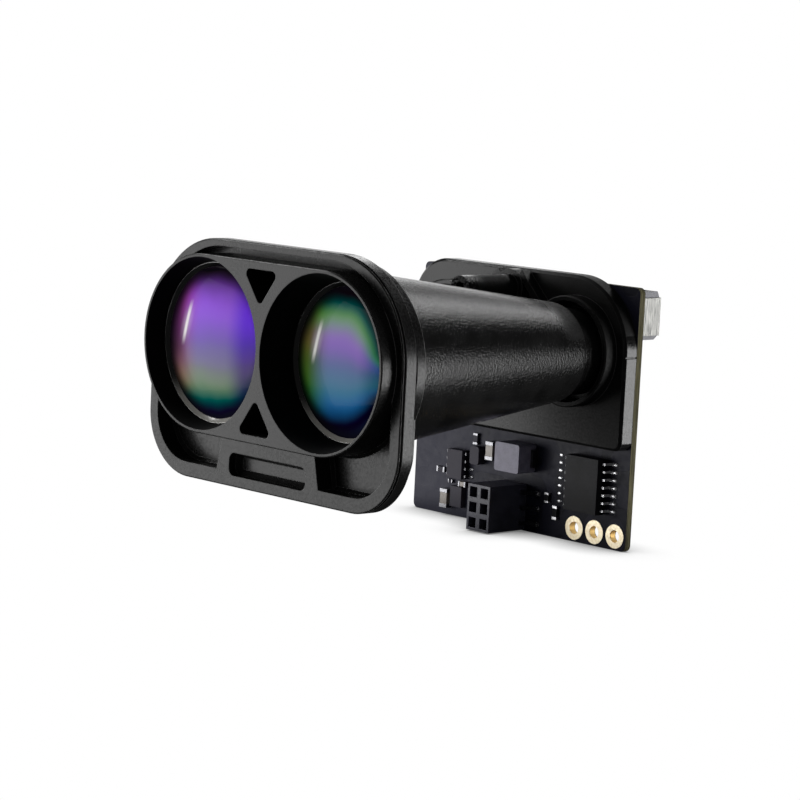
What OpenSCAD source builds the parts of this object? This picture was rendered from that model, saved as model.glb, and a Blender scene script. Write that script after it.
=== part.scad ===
// Twin-lens laser range module: a moulded front frame with two hooded lenses, two tapered
// barrels, a rear plate and the circuit board that carries the laser, detector and sockets.
// Millimetres. X runs to the right seen from the front, the lenses look along -Y, Z is up.
// The origin is on the front face, midway between the two optical axes.

/* [Optics] */
// Distance between the two optical axes
axis_gap = 27.8; // [27.6:0.1:27.9]
// Radius of each lens hood at the front face
hood_r = 13.45; // [13:0.05:13.5]
// Wall left round each hood at the front face
hood_wall = 0.5; // [0.4:0.05:0.8]
// Depth of the receiver's lens ring behind the front face
receiver_ring_y = 3.2; // [2.8:0.1:3.8]
// Front radius of the receiver's lens ring
receiver_ring_r = 12.5; // [12.2:0.05:12.55]
// Depth of the emitter's lens ring behind the front face
emitter_ring_y = 5.6; // [5:0.1:5.6]
// Front radius of the emitter's lens ring
emitter_ring_r = 12.05; // [11.6:0.05:12.1]
// Radius of curvature of each lens's front surface
lens_curve = 48; // [32:1:60]
// Thickness of each lens at its rim
lens_rim = 2; // [1.5:0.1:2.2]

/* [Front frame] */
// Width of the frame
frame_w = 58.5; // [58.4:0.1:59.6]
// Height of the frame's top edge over the optical axes
frame_top = 16.3; // [16:0.1:16.3]
// Drop of the frame's bottom edge under the optical axes
frame_drop = 21.85; // [21:0.05:23]
// Corner radius at the top of the frame
frame_top_r = 15.5; // [14:0.5:15.5]
// Corner radius at the bottom of the frame
frame_low_r = 9.9; // [8:0.1:10.5]
// Depth of the frame's rim behind the lens block's face
rim_y = 2.9; // [2.2:0.1:2.9]
// Depth of the frame's back behind the lens block's face
frame_back = 5.85; // [5.75:0.05:6.3]
// Width of the rim at the two sides
rim_side = 2.05; // [1.7:0.05:2.1]
// Width of the rim along the top
rim_top = 1.1; // [1.05:0.05:1.3]
// Width of the rim along the bottom
rim_low = 2.35; // [2:0.05:2.6]
// Length of the oblong recess in the bottom bridge
recess_w = 18; // [14:0.5:19]
// Height of the oblong recess in the bottom bridge
recess_h = 3.6; // [2.8:0.1:3.8]
// Depth of the oblong recess in the bottom bridge
recess_d = 2.2; // [1:0.1:2.5]

/* [Barrels] */
// Thickness of the flange behind the frame
flange_t = 1.7; // [1.5:0.1:2.2]
// Radius of the ring where a barrel stands on the flange
root_r = 14.3; // [14:0.05:14.5]
// Radius of the tapered barrel at its front
barrel_front_r = 13.6; // [13.5:0.05:13.7]
// Radius of the tapered barrel at its rear
barrel_rear_r = 8; // [7.5:0.1:8.4]
// Depth at which the taper ends
barrel_end = 49.5; // [48.5:0.1:50]
// Radius of the plain neck that enters the rear plate
neck_r = 7; // [6.8:0.1:7.2]

/* [Rear plate] */
// Depth of the circuit board's front face
board_y = 58; // [58:0.1:60]
// Thickness of the rear plate
plate_t = 2.7; // [2.5:0.1:3]
// Height of the rear plate's top edge over the optical axes
plate_top = 12.2; // [12.1:0.1:13]
// Drop of the rear plate's bottom edge under the optical axes
plate_drop = 15.1; // [14.5:0.1:15.6]
// Outer radius of the collar round each barrel's neck
collar_r = 9; // [8.8:0.1:9.4]
// Height of the collars over the plate
collar_h = 2.5; // [1.5:0.1:3]
// Length of the screw boss between the barrels
boss_h = 13.2; // [10:0.1:16]
// Radius of the screw boss
boss_r = 2.2; // [1.8:0.1:2.4]
// Radius of the hole in the screw boss
boss_hole_r = 1.1; // [0.8:0.05:1.2]

/* [Circuit board] */
// Width of the circuit board
board_w = 49.5; // [49:0.1:52]
// Drop of the board's bottom edge under the optical axes
board_drop = 31.45; // [31.3:0.05:33]
// Height of the board's top edge over the optical axes
board_top = 11.05; // [10.8:0.05:12]
// Thickness of the circuit board
board_t = 1.2; // [1:0.1:2]
// Radius of the plated holes for wires
wire_hole_r = 1; // [0.6:0.05:1.2]
// Outer radius of the gold pads round those holes
wire_pad_r = 1.95; // [1.5:0.05:2.1]
// Spacing of the gold pads
wire_pitch = 4.5; // [4.3:0.05:4.6]
// Height of the pin socket over the board
socket_h = 8.5; // [6:0.1:9]

/* [Hidden] */

$fn = 96;
// Extra length that lets a cutting tool pass clear of a face
cut = 1;
// Running gap between turned pieces that slide into each other
ease = 0.05;
// Overlap of the wedge along a sloped side with the solid behind it
edge_lap = 0.4;

axis_x = axis_gap / 2;
RECEIVER = -1;
EMITTER = 1;
SIDES = [RECEIVER, EMITTER];
block_r = hood_r + hood_wall;

// Groove round the frame's edge and the seal that lies in it
seal_y = 3.12;
seal_w = 0.48;
seal_d = 0.5;
seal_sink = 0.12;

// Moulding details of the front frame
block_edge = 0.15;
rim_front_edge = 0.2;
rim_back_edge = 0.3;
bridge_top = 10.5;
bridge_low = 12.2;
recess_z = -18.3;
recess_r = 1.2;
recess_slope = 0.85;
core_depth = 5.2;
core_r = 0.8;
core_half = 2.6;
core_base = 11.9;
core_tip = 8.4;

// Outlines of the frame and of the opening in its rim: x0, x1, z0, z1 and the corner radii
frame_box = [-frame_w / 2, frame_w / 2, -frame_drop, frame_top];
frame_corners = [frame_low_r, frame_low_r, frame_top_r, frame_top_r];
pocket_box = [rim_side - frame_w / 2, frame_w / 2 - rim_side, rim_low - frame_drop, frame_top - rim_top];
pocket_low_r = frame_low_r - rim_low;
pocket_top_r = frame_top_r - rim_top;
pocket_corners = [pocket_low_r, pocket_low_r, pocket_top_r, pocket_top_r];

// Lens rings
ring_wall = 0.4;
ring_chamfer_d = 0.5;
ring_chamfer_r = 0.7;
rim_grip = 0.5;
ring_tail = 0.2;

// Flange behind the frame, with the sunk floors of the two pockets
flange_back = frame_back + flange_t;
flange_inset = 0.05;
flange_r = frame_w / 2 - axis_x - flange_inset;
flange_bore_r = 13;
floor_lap = 0.3;
floor_sink = 0.5;

// Barrels
root_t = 0.9;
bore_front_r = 12.4;
bore_rear_r = 5.8;
ring_room_r = 12.6;
neck_seat = 1.5;

// Rear plate
plate_y = board_y - plate_t;
plate_corner_receiver = 8;
plate_corner_emitter = 12;
plate_corner_low = 1.5;
plate_edge = 0.45;
// Fine mould line down the plate's side, at the height of the optical axes
plate_line_w = 0.25;
plate_line_d = 0.15;
plate_line_z = -0.15;
collar_wall = 0.8;
collar_edge = 0.2;
aperture_r = 5;
boss_z = 8.95;
boss_hole_d = 9;
foot_r = 3.1;
foot_h = 2;
rib_t = 1.1;
rib_h = 1.9;
rib_l = 7.8;

// Screws through the board into the rear plate
screw_places = [[-9.5, 9.6], [9.5, 9.6], [-21.5, -12.4], [21.5, -12.4]];
screw_r = 0.75;
screw_hole_r = 0.8;
screw_room_r = 1;
screw_depth = 2;
screw_head_r = 1.7;
screw_head_h = 1.2;
screw_drive_w = 0.5;
screw_drive_l = 1.9;
screw_drive_d = 0.7;

// Circuit board
board_back = board_y + board_t;
board_corner = 1;
wire_x = 17.85;
wire_z = -29.2;
pad_t = 0.06;

// Two by three pin socket, pitch 2.54
socket_x = -0.47;
socket_z = -27.43;
socket_pitch = 2.54;
socket_cols = 2;
socket_rows = 3;
socket_edge = 0.06;
socket_hole = 1.7;
socket_hole_d = 5.5;
tail_w = 0.64;
tail_t = 0.35;
tail_reach = 2.6;
tail_rise = 1.1;

// Chips with gull-wing leads: place, body size, leads a side and their pitch
lead_pitch = 1.27;
lead_w = 0.42;
lead_t = 0.22;
interface_at = [16.3, -21.5];
interface_size = [7.5, 9, 2.25];
interface_leads = 7;
interface_reach = 1.4;
interface_foot = 0.75;
regulator_at = [-13.8, -22.4];
regulator_size = [3.9, 4.9, 1.45];
regulator_leads = 4;
regulator_reach = 0.85;
regulator_foot = 0.5;
driver_at = [-13.6, -28];
driver_size = [2.7, 3.5, 0.95];
chip_gap = 0.1;
chip_draft = 0.18;

// Power inductor and clamp diode
inductor_at = [1, -19.1];
inductor_size = [5.6, 4.8, 4];
inductor_corner = 0.5;
inductor_tab = [0.5, 3, 1.2];
diode_at = [-9.1, -20.3];
diode_size = [2.1, 3.1, 1.5];

// Two-ended chip parts: x, z, size across, size between the ends, height, quarter turns
capacitors = [[-5.9, -19.1, 1.6, 3.1, 1.25, 0], [-16.3, -28.6, 1.6, 3.2, 1.2, 0],
    [-12.4, -25.7, 0.8, 1.7, 0.8, 1], [23.3, 0.7, 0.9, 2.2, 0.9, 2]];
resistors = [[-10, -17.65, 0.9, 1.9, 0.5, 0], [-18, -23.9, 0.8, 1.9, 0.5, 1],
    [7.2, -25.1, 0.9, 1.7, 0.5, 0], [9.2, -27.3, 0.9, 2.3, 0.5, 0], [-15.6, -25.6, 0.5, 1, 0.4, 1]];
end_share = 0.2;
end_lap = 0.06;
REAR = 2;

// Laser and detector cans
can_r = 2.3;
can_flange_r = 2.8;
can_flange_t = 1.1;
can_y = 54;
can_window_r = 1.1;
can_window_d = 0.3;
filter_y = 50.5;
filter_t = 1;

// Shielded connector on the back of the board
conn_x0 = 16.5;
conn_x1 = 24;
conn_y1 = board_back + 4.6;
conn_z0 = 2.65;
conn_z1 = 10.4;
shield_z0 = 3.3;
shield_z1 = 9.4;
shield_t = 0.2;
conn_top_slope = 0.5;
conn_low_slope = 0.8;
conn_mouth = [5, 1.8, 5.5];
conn_pins = 5;
conn_pin_pitch = 0.8;
conn_pin = [0.35, 0.3, 4];

// Extrudes a drawing made in X and Z from depth y0 to depth y1
module slab(y0, y1) {
    translate([0, y1, 0])
        rotate([90, 0, 0])
            linear_extrude(y1 - y0)
                children();
}

// Turned solid along Y from depth y0 to depth y1, radius r0 at the front and r1 at the back
module turned(y0, y1, r0, r1) {
    translate([0, y0, 0])
        rotate([-90, 0, 0])
            cylinder(h = y1 - y0, r1 = r0, r2 = r1);
}

// Puts its children on the optical axis of one side
module on_axis(side) {
    translate([side * axis_x, 0, 0])
        children();
}

// Rectangle with a radius of its own at each corner, in the order of the list corners:
// lower left, lower right, upper right, upper left
module rounded_face(x0, x1, z0, z1, corners) {
    a = corners[0];
    b = corners[1];
    c = corners[2];
    d = corners[3];
    polygon([[x0, z0 + a], [x0 + a, z0], [x1 - b, z0], [x1, z0 + b],
        [x1, z1 - c], [x1 - c, z1], [x0 + d, z1], [x0, z1 - d]]);
    translate([x0 + a, z0 + a])
        circle(a);
    translate([x1 - b, z0 + b])
        circle(b);
    translate([x1 - c, z1 - c])
        circle(c);
    translate([x0 + d, z1 - d])
        circle(d);
}

// The same rectangle drawn in by a margin, from its box of x0, x1, z0 and z1
module boxed_face(box, corners, margin) {
    rounded_face(box[0] + margin, box[1] - margin, box[2] + margin, box[3] - margin,
        [for (r = corners) r - margin]);
}

// Solid between depth y0 and depth y1 with the outline of a boxed face. Its margin runs evenly
// from m0 to m1, by a cone at each corner and a wedge along each side.
module sloped_slab(y0, y1, m0, m1, box, corners) {
    inner = max(m0, m1) + edge_lap;
    slab(y0, y1)
        boxed_face(box, corners, max(m0, m1));
    for (i = [0:3])
        translate([i == 0 || i == 3 ? box[0] + corners[i] : box[1] - corners[i], 0,
            i < 2 ? box[2] + corners[i] : box[3] - corners[i]])
            turned(y0, y1, corners[i] - m0, corners[i] - m1);
    translate([box[0] + corners[0], 0, box[2]])
        side_wedge(y0, y1, m0, m1, box[1] - box[0] - corners[0] - corners[1], inner);
    translate([box[1] - corners[2], 0, box[3]])
        rotate([0, 180, 0])
            side_wedge(y0, y1, m0, m1, box[1] - box[0] - corners[2] - corners[3], inner);
    translate([box[1], 0, box[2] + corners[1]])
        rotate([0, -90, 0])
            side_wedge(y0, y1, m0, m1, box[3] - box[2] - corners[1] - corners[2], inner);
    translate([box[0], 0, box[3] - corners[3]])
        rotate([0, 90, 0])
            side_wedge(y0, y1, m0, m1, box[3] - box[2] - corners[3] - corners[0], inner);
}

// Wedge along X that fills a sloped side, from its margin up to the height inner
module side_wedge(y0, y1, m0, m1, length, inner) {
    rotate([90, 0, 90])
        linear_extrude(length)
            polygon([[y0, m0], [y1, m1], [y1, inner], [y0, inner]]);
}

// Outline of the frame, drawn in by a margin
module frame_face(margin) {
    boxed_face(frame_box, frame_corners, margin);
}

// Opening inside the rim
module pocket_face() {
    boxed_face(pocket_box, pocket_corners, 0);
}

// Lens block that holds both hoods, between depth y0 and depth y1, with a margin from m0 to m1
module block_slab(y0, y1, m0, m1) {
    r0 = block_r - m0;
    r1 = block_r - m1;
    translate([-axis_x, 0, 0])
        rotate([90, 0, 90])
            linear_extrude(axis_gap)
                polygon([[y0, -r0], [y1, -r1], [y1, r1], [y0, r0]]);
    for (side = SIDES)
        on_axis(side)
            turned(y0, y1, r0, r1);
}

// Bridge from the lens block down to the rim, between the two pockets
module bridge_face() {
    top = -block_r + cut;
    low = -frame_drop + rim_low / 2;
    polygon([[-bridge_low, low], [bridge_low, low], [bridge_top, top], [-bridge_top, top]]);
}

// Oblong recess in the bridge, with walls that slope in towards its floor
module recess_room() {
    box = [-recess_w / 2, recess_w / 2, recess_z - recess_h / 2, recess_z + recess_h / 2];
    corners = [recess_r, recess_r, recess_r, recess_r];
    floor_y = rim_y + recess_d;
    slab(rim_y - cut, floor_y - recess_slope)
        boxed_face(box, corners, 0);
    sloped_slab(floor_y - recess_slope, floor_y, 0, recess_slope, box, corners);
}

// Three-cornered core-out between the hoods, pointing at the middle of the block
module core_face() {
    hull() {
        translate([-core_half, core_base])
            circle(core_r, $fn = 32);
        translate([core_half, core_base])
            circle(core_r, $fn = 32);
        translate([0, core_tip])
            circle(core_r, $fn = 32);
    }
}

// Room for one hood and the lens ring seated behind it
module hood_room(ring_y, ring_r) {
    seat_r = ring_r + ease;
    slope = (hood_r - seat_r) / ring_y;
    turned(-cut, ring_y, hood_r + slope * cut, seat_r);
    turned(ring_y, frame_back + cut, ring_r + ring_wall + ease, ring_r + ring_wall + ease);
}

module front_frame() {
    color("dimgray")
        difference() {
            union() {
                block_slab(0, block_edge, block_edge, 0);
                block_slab(block_edge, frame_back, 0, 0);
                slab(rim_y, frame_back)
                    bridge_face();
                difference() {
                    union() {
                        sloped_slab(rim_y, rim_y + rim_front_edge, rim_front_edge, 0,
                            frame_box, frame_corners);
                        slab(rim_y + rim_front_edge, frame_back - rim_back_edge)
                            frame_face(0);
                        sloped_slab(frame_back - rim_back_edge, frame_back, 0, rim_back_edge,
                            frame_box, frame_corners);
                    }
                    slab(rim_y - cut, frame_back + cut)
                        pocket_face();
                }
            }
            on_axis(RECEIVER)
                hood_room(receiver_ring_y, receiver_ring_r);
            on_axis(EMITTER)
                hood_room(emitter_ring_y, emitter_ring_r);
            slab(-cut, core_depth) {
                core_face();
                mirror([0, 1])
                    core_face();
            }
            recess_room();
            slab(seal_y, seal_y + seal_w)
                difference() {
                    frame_face(-cut);
                    frame_face(seal_d);
                }
        }
}

module frame_seal() {
    color("black")
        slab(seal_y, seal_y + seal_w)
            difference() {
                frame_face(seal_sink);
                frame_face(seal_d);
            }
}

// Outline of the flange: round both barrels, and behind the pockets below
module flange_face() {
    square([axis_gap, 2 * flange_r], center = true);
    for (side = SIDES)
        translate([side * axis_x, 0])
            circle(flange_r);
    rounded_face(pocket_box[0] - floor_lap, pocket_box[1] + floor_lap, pocket_box[2] - floor_lap, 1,
        [pocket_low_r + floor_lap, pocket_low_r + floor_lap, 0.5, 0.5]);
}

// Side of the bridge carried down into the flange, leaning out as it gets deeper
module bridge_lean() {
    top = -block_r + cut;
    low = -frame_drop + rim_low / 2;
    deep = 2 * floor_sink;
    wide = 2 * bridge_top;
    translate([bridge_top, frame_back, top])
        rotate([0, atan2(bridge_top - bridge_low, top - low), 0])
            translate([0, 0, low - top - cut])
                linear_extrude(top - low + 2 * cut)
                    polygon([[-wide, -deep], [-deep, -deep], [deep, deep], [-wide, deep]]);
}

// Room for the two sunk pocket floors with their sloped edges
module floor_room() {
    y0 = frame_back - floor_sink;
    y1 = frame_back + floor_sink;
    difference() {
        sloped_slab(y0, y1, -floor_sink, floor_sink, pocket_box, pocket_corners);
        block_slab(y0 - floor_sink, y1 + floor_sink, 2 * floor_sink, -2 * floor_sink);
        bridge_lean();
        mirror([1, 0, 0])
            bridge_lean();
        translate([-frame_w / 2, y0 - cut, -floor_sink])
            cube([frame_w, y1 - y0 + 2 * cut, frame_top + cut]);
    }
}

module barrel_flange() {
    color("dimgray")
        difference() {
            slab(frame_back, flange_back)
                flange_face();
            for (side = SIDES)
                on_axis(side)
                    turned(frame_back - cut, flange_back + cut, flange_bore_r, flange_bore_r);
            floor_room();
        }
}

// Ring with a polished chamfer in front of the glass and a seat for the lens's rim behind it
module lens_ring(ring_y, ring_r) {
    glass_r = ring_r - ring_chamfer_r;
    glass_y = ring_y + ring_chamfer_d;
    outer = ring_r + ring_wall;
    back = glass_y + lens_rim + ring_tail;
    slope = ring_chamfer_r / ring_chamfer_d;
    difference() {
        turned(ring_y, back, outer, outer);
        turned(ring_y - cut, glass_y, ring_r + slope * cut, glass_r);
        turned(ring_y, glass_y + cut, glass_r, glass_r);
        turned(glass_y, back + cut, glass_r + rim_grip, glass_r + rim_grip);
    }
}

module receiver_lens_ring() {
    color("gray")
        on_axis(RECEIVER)
            lens_ring(receiver_ring_y, receiver_ring_r);
}

module emitter_lens_ring() {
    color("gray")
        on_axis(EMITTER)
            lens_ring(emitter_ring_y, emitter_ring_r);
}

// Plano-convex lens: a spherical cap in front of a plain rim
module lens(ring_y, ring_r) {
    glass_r = ring_r - ring_chamfer_r;
    glass_y = ring_y + ring_chamfer_d;
    centre = glass_y + sqrt(lens_curve * lens_curve - glass_r * glass_r);
    intersection() {
        turned(glass_y - glass_r, glass_y + lens_rim, glass_r, glass_r);
        translate([0, centre, 0])
            sphere(lens_curve, $fn = 192);
    }
    turned(glass_y, glass_y + lens_rim, glass_r + rim_grip, glass_r + rim_grip);
}

module receiver_lens() {
    color("mediumpurple")
        on_axis(RECEIVER)
            lens(receiver_ring_y, receiver_ring_r);
}

module emitter_lens() {
    color("steelblue")
        on_axis(EMITTER)
            lens(emitter_ring_y, emitter_ring_r);
}

// Hollow tapered barrel with a root ring in front and a plain neck behind
module barrel() {
    root_end = flange_back + root_t;
    neck_end = plate_y + neck_seat;
    difference() {
        union() {
            turned(flange_back, root_end, root_r, root_r);
            turned(root_end, barrel_end, barrel_front_r, barrel_rear_r);
            turned(barrel_end, neck_end, neck_r, neck_r);
        }
        turned(flange_back - cut, root_end, ring_room_r, ring_room_r);
        turned(root_end, barrel_end, bore_front_r, bore_rear_r);
        turned(barrel_end - cut, neck_end + cut, bore_rear_r, bore_rear_r);
    }
}

module receiver_barrel() {
    color("black")
        on_axis(RECEIVER)
            barrel();
}

module emitter_barrel() {
    color("black")
        on_axis(EMITTER)
            barrel();
}

module receiver_filter() {
    color("darkred")
        on_axis(RECEIVER)
            turned(filter_y, filter_y + filter_t, bore_rear_r, bore_rear_r);
}

// Round can with a window, standing on the board
module optic_can() {
    difference() {
        union() {
            turned(can_y, board_y, can_r, can_r);
            turned(board_y - can_flange_t, board_y, can_flange_r, can_flange_r);
        }
        turned(can_y - cut, can_y + can_window_d, can_window_r, can_window_r);
    }
}

module photodiode() {
    color("goldenrod")
        on_axis(RECEIVER)
            optic_can();
}

module laser_diode() {
    color("goldenrod")
        on_axis(EMITTER)
            optic_can();
}

// Rib from the collar of one side, up and in past the foot of the boss
module collar_rib(side) {
    slab(plate_y - rib_h, plate_y)
        translate([side * axis_x, 0])
            rotate(90 + side * 45)
                translate([collar_r - collar_wall / 2, -rib_t / 2])
                    square([rib_l, rib_t]);
}

module rear_plate() {
    collar_y = plate_y - collar_h;
    plate_box = [-board_w / 2, board_w / 2, -plate_drop, plate_top];
    plate_corners = [plate_corner_low, plate_corner_low, plate_corner_emitter, plate_corner_receiver];
    color("black")
        difference() {
            union() {
                sloped_slab(plate_y, plate_y + plate_edge, plate_edge, 0, plate_box, plate_corners);
                slab(plate_y + plate_edge, board_y)
                    boxed_face(plate_box, plate_corners, 0);
                for (side = SIDES) {
                    on_axis(side) {
                        turned(collar_y, collar_y + collar_edge, collar_r - collar_edge, collar_r);
                        turned(collar_y + collar_edge, plate_y, collar_r, collar_r);
                    }
                    collar_rib(side);
                }
                translate([0, 0, boss_z]) {
                    turned(plate_y - boss_h, plate_y, boss_r, boss_r);
                    turned(plate_y - foot_h, plate_y, foot_r, foot_r);
                }
            }
            for (side = SIDES)
                on_axis(side) {
                    turned(collar_y - cut, plate_y, collar_r - collar_wall, collar_r - collar_wall);
                    turned(plate_y - cut, plate_y + neck_seat, neck_r + ease, neck_r + ease);
                    turned(plate_y, board_y + cut, aperture_r, aperture_r);
                }
            translate([0, 0, boss_z])
                turned(plate_y - boss_h - cut, plate_y - boss_h + boss_hole_d, boss_hole_r, boss_hole_r);
            for (place = screw_places)
                translate([place[0], 0, place[1]])
                    turned(board_y - screw_depth, board_y + cut, screw_hole_r, screw_hole_r);
            translate([board_w / 2 - plate_line_d, plate_y - cut, plate_line_z])
                cube([cut, plate_t + 2 * cut, plate_line_w]);
        }
}

// Puts its children at each of the three wire pads
module each_wire_pad() {
    for (i = [-1:1])
        translate([wire_x + i * wire_pitch, wire_z])
            children();
}

module main_board() {
    half = board_w / 2;
    color("midnightblue")
        slab(board_y, board_back)
            difference() {
                rounded_face(-half, half, -board_drop, board_top,
                    [board_corner, board_corner, board_corner, board_corner]);
                each_wire_pad()
                    circle(wire_hole_r);
                for (place = screw_places)
                    translate(place)
                        circle(screw_room_r);
            }
}

module board_screws() {
    color("silver")
        for (place = screw_places)
            translate([place[0], 0, place[1]])
                difference() {
                    union() {
                        turned(board_y - screw_depth, board_back, screw_r, screw_r);
                        turned(board_back, board_back + screw_head_h, screw_head_r, screw_head_r);
                    }
                    slab(board_back + screw_head_h - screw_drive_d, board_back + screw_head_h + cut) {
                        square([screw_drive_l, screw_drive_w], center = true);
                        square([screw_drive_w, screw_drive_l], center = true);
                    }
                }
}

// Puts its children at each hole of the pin socket
module each_socket_hole() {
    for (col = [0:socket_cols - 1])
        for (row = [0:socket_rows - 1])
            translate([socket_x + (col - (socket_cols - 1) / 2) * socket_pitch,
                socket_z + (row - (socket_rows - 1) / 2) * socket_pitch])
                children();
}

module pin_socket() {
    color("darkslategray")
        difference() {
            slab(board_y - socket_h, board_y)
                translate([socket_x, socket_z])
                    square([socket_cols * socket_pitch + socket_edge,
                        socket_rows * socket_pitch + socket_edge], center = true);
            slab(board_y - socket_h - cut, board_y - socket_h + socket_hole_d)
                each_socket_hole()
                    square(socket_hole, center = true);
        }
}

// Bent strip seen from its end: out of a wall, down to the board and along it.
// It starts at the drawing's origin, and the board lies at height zero.
module bent_strip(rise, reach, foot, t) {
    knee = reach - foot;
    polygon([[0, rise], [knee - t, rise], [knee - t, 0], [reach, 0], [reach, t],
        [knee, t], [knee, rise + t], [0, rise + t]]);
}

// Stands a strip drawn out from a wall and up from the board at a place beside that wall
module strip_at(x, z, turn, w) {
    translate([x, board_y, z])
        rotate([0, turn, 0])
            translate([0, 0, -w / 2])
                linear_extrude(w)
                    mirror([0, 1])
                        children();
}

module pin_socket_tails() {
    half = (socket_cols * socket_pitch + socket_edge) / 2;
    color("silver")
        for (row = [0:socket_rows - 1])
            for (side = SIDES)
                strip_at(socket_x + side * half,
                    socket_z + (row - (socket_rows - 1) / 2) * socket_pitch,
                    side > 0 ? 0 : 180, tail_w)
                    bent_strip(tail_rise, tail_reach, tail_reach / 2, tail_t);
}

// Moulded chip body, drawn in towards its top and its underside
module chip_body(at, size) {
    half = size[0] / 2;
    top = size[2];
    mid = (top + chip_gap) / 2;
    translate([at[0], board_y, at[1] - size[1] / 2])
        linear_extrude(size[1])
            mirror([0, 1])
                polygon([[-half + chip_draft, chip_gap], [half - chip_draft, chip_gap], [half, mid],
                    [half - chip_draft, top], [chip_draft - half, top], [-half, mid]]);
}

// Two rows of gull-wing leads beside a chip body
module chip_leads(at, size, count, reach, foot) {
    mid = (size[2] + chip_gap) / 2;
    for (i = [0:count - 1])
        for (side = SIDES)
            strip_at(at[0] + side * size[0] / 2, at[1] + (i - (count - 1) / 2) * lead_pitch,
                side > 0 ? 0 : 180, lead_w)
                bent_strip(mid, reach, foot, lead_t);
}

module interface_chip() {
    color("darkslategray")
        chip_body(interface_at, interface_size);
}

module interface_chip_leads() {
    color("silver")
        chip_leads(interface_at, interface_size, interface_leads, interface_reach, interface_foot);
}

module regulator_chip() {
    color("darkslategray")
        chip_body(regulator_at, regulator_size);
}

module regulator_chip_leads() {
    color("silver")
        chip_leads(regulator_at, regulator_size, regulator_leads, regulator_reach, regulator_foot);
}

// Block that stands on the front of the board
module board_block(at, size) {
    translate([at[0] - size[0] / 2, board_y - size[2], at[1] - size[1] / 2])
        cube([size[0], size[2], size[1]]);
}

module driver_chip() {
    color("dimgray")
        board_block(driver_at, driver_size);
}

module clamp_diode() {
    half = diode_size[0] / 2;
    tall = diode_size[1] / 2;
    color("gray")
        slab(board_y - diode_size[2], board_y)
            translate(diode_at)
                rounded_face(-half, half, -tall, tall, [half / 2, half / 2, half / 2, half / 2]);
}

module power_inductor() {
    half = inductor_size[0] / 2;
    tall = inductor_size[1] / 2;
    color("slategray")
        slab(board_y - inductor_size[2], board_y)
            translate(inductor_at)
                rounded_face(-half, half, -tall, tall,
                    [inductor_corner, inductor_corner, inductor_corner, inductor_corner]);
}

module inductor_terminals() {
    color("silver")
        for (side = SIDES)
            board_block([inductor_at[0] + side * (inductor_size[0] + inductor_tab[0]) / 2, inductor_at[1]],
                inductor_tab);
}

// Puts its children on the front or the back of the board, turned as the entry says
module chip_place(part) {
    translate([part[0], part[5] == REAR ? board_back : board_y, part[1]])
        rotate([0, part[5] == 1 ? 90 : 0, 0])
            mirror([0, part[5] == REAR ? 0 : 1, 0])
                children();
}

// Middle of a two-ended chip part
module chip_middle(part) {
    long = part[3] * (1 - 2 * end_share);
    chip_place(part)
        translate([-part[2] / 2, 0, -long / 2])
            cube([part[2], part[4], long]);
}

// The two metal ends of a chip part, a little fuller than its middle
module chip_ends(part) {
    deep = part[3] * end_share;
    w = part[2] + 2 * end_lap;
    chip_place(part)
        for (side = SIDES)
            translate([-w / 2, 0, side * (part[3] - deep) / 2 - deep / 2])
                cube([w, part[4] + end_lap, deep]);
}

module ceramic_capacitors() {
    color("rosybrown")
        for (part = capacitors)
            chip_middle(part);
}

module capacitor_terminals() {
    color("silver")
        for (part = capacitors)
            chip_ends(part);
}

module chip_resistors() {
    color("black")
        for (part = resistors)
            chip_middle(part);
}

module resistor_terminals() {
    color("silver")
        for (part = resistors)
            chip_ends(part);
}

module wire_pads() {
    color("gold")
        for (y = [board_y - pad_t, board_back])
            slab(y, y + pad_t)
                each_wire_pad()
                    difference() {
                        circle(wire_pad_r);
                        circle(wire_hole_r);
                    }
}

// Outline of the rear connector seen along X, from the board out to depth y1
module connector_face(y1) {
    polygon([[board_back, conn_z0], [y1 - conn_low_slope, conn_z0], [y1, shield_z0],
        [y1, shield_z1], [y1 - conn_top_slope, conn_z1], [board_back, conn_z1]]);
}

module rear_connector_body() {
    mid = (conn_x0 + conn_x1) / 2;
    color("black")
        difference() {
            translate([conn_x0 + shield_t, 0, 0])
                rotate([90, 0, 90])
                    linear_extrude(conn_x1 - conn_x0 - 2 * shield_t)
                        connector_face(conn_y1 - shield_t);
            translate([mid - conn_mouth[0] / 2, (board_back + conn_y1 - conn_mouth[1]) / 2,
                conn_z1 - conn_mouth[2]])
                cube([conn_mouth[0], conn_mouth[1], conn_mouth[2] + cut]);
        }
}

module rear_connector_shield() {
    color("lightgray")
        difference() {
            translate([conn_x0, board_back, shield_z0])
                cube([conn_x1 - conn_x0, conn_y1 - board_back, shield_z1 - shield_z0]);
            translate([conn_x0 + shield_t, board_back - cut, shield_z0 - cut])
                cube([conn_x1 - conn_x0 - 2 * shield_t, conn_y1 - board_back + cut - shield_t,
                    shield_z1 - shield_z0 + 2 * cut]);
        }
}

module rear_connector_contacts() {
    mid = (conn_x0 + conn_x1) / 2;
    color("gold")
        for (i = [0:conn_pins - 1])
            translate([mid + (i - (conn_pins - 1) / 2) * conn_pin_pitch - conn_pin[0] / 2,
                (board_back + conn_y1 - conn_mouth[1]) / 2, conn_z1 - conn_mouth[2]])
                cube(conn_pin);
}

front_frame();
frame_seal();
barrel_flange();
receiver_lens_ring();
emitter_lens_ring();
receiver_lens();
emitter_lens();
receiver_barrel();
emitter_barrel();
receiver_filter();
photodiode();
laser_diode();
rear_plate();
main_board();
board_screws();
pin_socket();
pin_socket_tails();
interface_chip();
interface_chip_leads();
regulator_chip();
regulator_chip_leads();
driver_chip();
clamp_diode();
power_inductor();
inductor_terminals();
ceramic_capacitors();
capacitor_terminals();
chip_resistors();
resistor_terminals();
wire_pads();
rear_connector_body();
rear_connector_shield();
rear_connector_contacts();
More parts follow.
